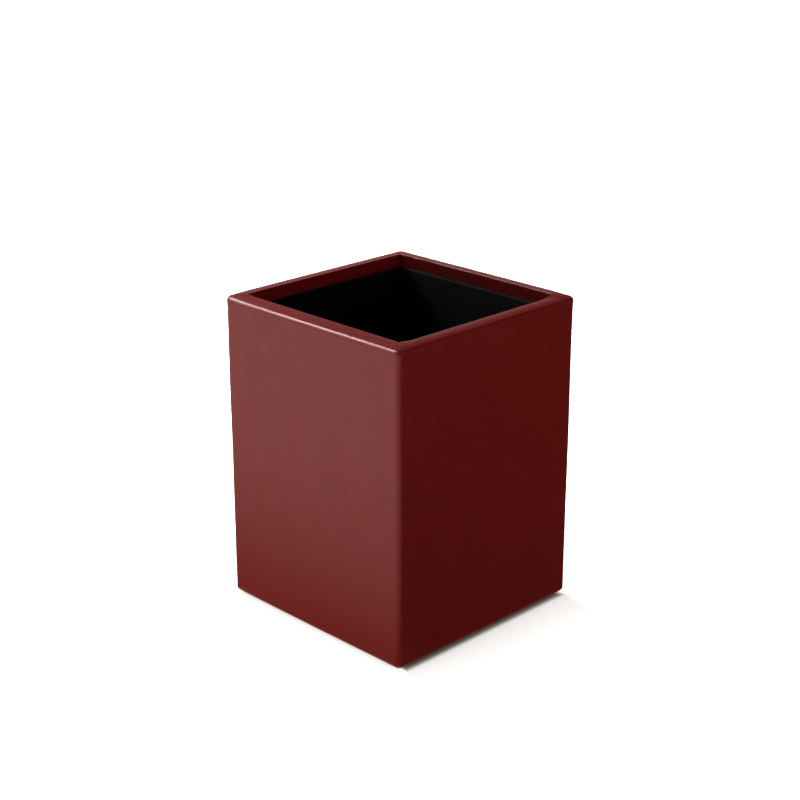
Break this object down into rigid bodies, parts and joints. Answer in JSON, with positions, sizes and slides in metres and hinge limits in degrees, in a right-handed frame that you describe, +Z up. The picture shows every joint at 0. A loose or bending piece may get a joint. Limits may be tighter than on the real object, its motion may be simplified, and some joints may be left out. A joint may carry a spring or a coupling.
{
  "type": "pen holder",
  "caption": "Upright square desk cup for pens: a rigid board box covered in smooth leather, turned over the rim, with a black lined well.",
  "frame": {"origin": "middle of the foot, on the surface that the holder stands on", "axes": "+Z up, +Y towards the wall with the leather's butt seam, +X to the right of it seen from the front"},
  "size_m": [0.0796, 0.0796, 0.105],
  "materials": {
    "burgundy_leather": "smooth, semi-gloss, with a faint grain",
    "fibreboard": "bare medium-density fibreboard",
    "greyboard": "uncoated grey board",
    "black_lining": "black suede-finish lining cloth",
    "base_felt": "dense dark felt"
  },
  "bodies": {
    "root": {"leather_wrap": "burgundy_leather", "front_board": "fibreboard", "rear_board": "fibreboard", "left_board": "fibreboard", "right_board": "fibreboard", "base_board": "fibreboard", "lining_card_front": "greyboard", "lining_card_rear": "greyboard", "lining_card_left": "greyboard", "lining_card_right": "greyboard", "floor_card": "greyboard", "lining_cover_front": "black_lining", "lining_cover_rear": "black_lining", "lining_cover_left": "black_lining", "lining_cover_right": "black_lining", "floor_cover": "black_lining", "base_pad": "base_felt"}
  },
  "joints": []
}
